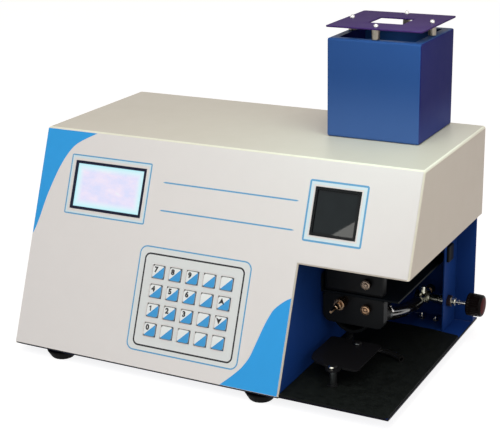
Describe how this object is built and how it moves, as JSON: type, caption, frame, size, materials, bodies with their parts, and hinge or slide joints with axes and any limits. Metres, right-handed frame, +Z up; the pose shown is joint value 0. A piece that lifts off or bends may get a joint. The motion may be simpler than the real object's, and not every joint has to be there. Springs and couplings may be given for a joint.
{
  "type": "flame photometer",
  "caption": "Bench flame photometer: cream case with sloping keypad panel, display and flame window, open sampling bay with burner group and gas valve, blue chimney with raised heat shield.",
  "frame": {"origin": "middle of the bounding box, at the feet's underside", "axes": "+X to the right seen from the front, where the gas knob is; -Y the front with the keypad; +Z up"},
  "size_m": [0.439, 0.2823, 0.3425],
  "materials": {
    "cream_case": "cream powder coat, satin",
    "printed_sheet": "pale grey printed sheet with blue sweeps and outlines",
    "blue_paint": "dark blue paint, satin",
    "chimney_blue": "dark blue paint, satin",
    "shield_paint": "dark purple-blue paint with bright screw heads",
    "black_rubber": "ribbed black mat, matt",
    "burner_steel": "turned steel",
    "clear_glass": "clear glass",
    "black_moulding": "black, satin",
    "black_shelf": "black paint, satin",
    "brass": "turned brass",
    "clear_hose": "clear hose, dark inside, glossy",
    "drain_rubber": "black rubber, satin",
    "knob_plastic": "black with a dark red cap",
    "table_plastic": "black, satin, with bright screw heads",
    "bezel_plastic": "black",
    "display": "lit pale blue",
    "smoked_glass": "smoked glass",
    "circuit_board": "green board",
    "optics_metal": "black anodised",
    "core_steel": "laminated core",
    "inlet_plastic": "black",
    "key_plastic": "white above, blue below, split along the diagonal"
  },
  "bodies": {
    "case": {"cover": "cream_case", "front_overlay": "printed_sheet", "chassis": "blue_paint", "bay_side_wall": "blue_paint", "bay_back_wall": "blue_paint", "bay_roof": "blue_paint", "rear_panel": "cream_case", "valve_plate": "blue_paint", "bay_mat": "black_rubber", "foot_front_left": "black_rubber", "foot_front_right": "black_rubber", "foot_rear_left": "black_rubber", "foot_rear_right": "black_rubber", "chimney": "chimney_blue", "heat_shield": "shield_paint", "burner": "burner_steel", "glass_chimney": "clear_glass", "burner_shelf": "black_shelf", "burner_base": "black_moulding", "mixing_chamber": "black_moulding", "chamber_cover": "black_moulding", "nebuliser": "brass", "upper_thumb_nut": "brass", "lower_thumb_nut": "brass", "valve_body": "brass", "gas_hose": "clear_hose", "drain_hose": "drain_rubber", "sample_table": "table_plastic", "lcd_bezel": "bezel_plastic", "lcd_module": "display", "window_frame": "bezel_plastic", "window_glass": "smoked_glass", "main_board": "circuit_board", "optics_block": "optics_metal", "power_supply": "core_steel", "mains_inlet": "inlet_plastic", "air_inlet": "brass", "gas_inlet": "brass"},
    "knob": {"gas_knob": "knob_plastic"},
    "rocker": {"power_switch": "inlet_plastic"},
    "key_7_body": {"key_7": "key_plastic"},
    "key_8_body": {"key_8": "key_plastic"},
    "key_9_body": {"key_9": "key_plastic"},
    "key_f1_body": {"key_f1": "key_plastic"},
    "key_f2_body": {"key_f2": "key_plastic"},
    "key_4_body": {"key_4": "key_plastic"},
    "key_5_body": {"key_5": "key_plastic"},
    "key_6_body": {"key_6": "key_plastic"},
    "key_f3_body": {"key_f3": "key_plastic"},
    "key_up_body": {"key_up": "key_plastic"},
    "key_1_body": {"key_1": "key_plastic"},
    "key_2_body": {"key_2": "key_plastic"},
    "key_3_body": {"key_3": "key_plastic"},
    "key_f4_body": {"key_f4": "key_plastic"},
    "key_down_body": {"key_down": "key_plastic"},
    "key_0_body": {"key_0": "key_plastic"},
    "key_f5_body": {"key_f5": "key_plastic"},
    "key_f6_body": {"key_f6": "key_plastic"},
    "key_f7_body": {"key_f7": "key_plastic"},
    "key_f8_body": {"key_f8": "key_plastic"}
  },
  "joints": [
    {"name": "gas_knob_turn", "type": "hinge", "parent": "case", "child": "knob", "pos_m": [0.2021, 0.08305, 0.0447], "axis": [1, 0, 0], "range_deg": [0, 1080]},
    {"name": "power_rocker", "type": "hinge", "parent": "case", "child": "rocker", "pos_m": [-0.1645, 0.12525, 0.0752], "axis": [1, 0, 0], "range_deg": [0, 18]},
    {"name": "key_7_press", "type": "slide", "parent": "case", "child": "key_7_body", "axis": [0, 0.9317, -0.3633], "range_m": [0, 0.0006], "stiffness_N_per_m": 500, "springref_m": -0.0008},
    {"name": "key_8_press", "type": "slide", "parent": "case", "child": "key_8_body", "axis": [0, 0.9317, -0.3633], "range_m": [0, 0.0006], "stiffness_N_per_m": 500, "springref_m": -0.0008},
    {"name": "key_9_press", "type": "slide", "parent": "case", "child": "key_9_body", "axis": [0, 0.9317, -0.3633], "range_m": [0, 0.0006], "stiffness_N_per_m": 500, "springref_m": -0.0008},
    {"name": "key_f1_press", "type": "slide", "parent": "case", "child": "key_f1_body", "axis": [0, 0.9317, -0.3633], "range_m": [0, 0.0006], "stiffness_N_per_m": 500, "springref_m": -0.0008},
    {"name": "key_f2_press", "type": "slide", "parent": "case", "child": "key_f2_body", "axis": [0, 0.9317, -0.3633], "range_m": [0, 0.0006], "stiffness_N_per_m": 500, "springref_m": -0.0008},
    {"name": "key_4_press", "type": "slide", "parent": "case", "child": "key_4_body", "axis": [0, 0.9317, -0.3633], "range_m": [0, 0.0006], "stiffness_N_per_m": 500, "springref_m": -0.0008},
    {"name": "key_5_press", "type": "slide", "parent": "case", "child": "key_5_body", "axis": [0, 0.9317, -0.3633], "range_m": [0, 0.0006], "stiffness_N_per_m": 500, "springref_m": -0.0008},
    {"name": "key_6_press", "type": "slide", "parent": "case", "child": "key_6_body", "axis": [0, 0.9317, -0.3633], "range_m": [0, 0.0006], "stiffness_N_per_m": 500, "springref_m": -0.0008},
    {"name": "key_f3_press", "type": "slide", "parent": "case", "child": "key_f3_body", "axis": [0, 0.9317, -0.3633], "range_m": [0, 0.0006], "stiffness_N_per_m": 500, "springref_m": -0.0008},
    {"name": "key_up_press", "type": "slide", "parent": "case", "child": "key_up_body", "axis": [0, 0.9317, -0.3633], "range_m": [0, 0.0006], "stiffness_N_per_m": 500, "springref_m": -0.0008},
    {"name": "key_1_press", "type": "slide", "parent": "case", "child": "key_1_body", "axis": [0, 0.9317, -0.3633], "range_m": [0, 0.0006], "stiffness_N_per_m": 500, "springref_m": -0.0008},
    {"name": "key_2_press", "type": "slide", "parent": "case", "child": "key_2_body", "axis": [0, 0.9317, -0.3633], "range_m": [0, 0.0006], "stiffness_N_per_m": 500, "springref_m": -0.0008},
    {"name": "key_3_press", "type": "slide", "parent": "case", "child": "key_3_body", "axis": [0, 0.9317, -0.3633], "range_m": [0, 0.0006], "stiffness_N_per_m": 500, "springref_m": -0.0008},
    {"name": "key_f4_press", "type": "slide", "parent": "case", "child": "key_f4_body", "axis": [0, 0.9317, -0.3633], "range_m": [0, 0.0006], "stiffness_N_per_m": 500, "springref_m": -0.0008},
    {"name": "key_down_press", "type": "slide", "parent": "case", "child": "key_down_body", "axis": [0, 0.9317, -0.3633], "range_m": [0, 0.0006], "stiffness_N_per_m": 500, "springref_m": -0.0008},
    {"name": "key_0_press", "type": "slide", "parent": "case", "child": "key_0_body", "axis": [0, 0.9317, -0.3633], "range_m": [0, 0.0006], "stiffness_N_per_m": 500, "springref_m": -0.0008},
    {"name": "key_f5_press", "type": "slide", "parent": "case", "child": "key_f5_body", "axis": [0, 0.9317, -0.3633], "range_m": [0, 0.0006], "stiffness_N_per_m": 500, "springref_m": -0.0008},
    {"name": "key_f6_press", "type": "slide", "parent": "case", "child": "key_f6_body", "axis": [0, 0.9317, -0.3633], "range_m": [0, 0.0006], "stiffness_N_per_m": 500, "springref_m": -0.0008},
    {"name": "key_f7_press", "type": "slide", "parent": "case", "child": "key_f7_body", "axis": [0, 0.9317, -0.3633], "range_m": [0, 0.0006], "stiffness_N_per_m": 500, "springref_m": -0.0008},
    {"name": "key_f8_press", "type": "slide", "parent": "case", "child": "key_f8_body", "axis": [0, 0.9317, -0.3633], "range_m": [0, 0.0006], "stiffness_N_per_m": 500, "springref_m": -0.0008}
  ]
}
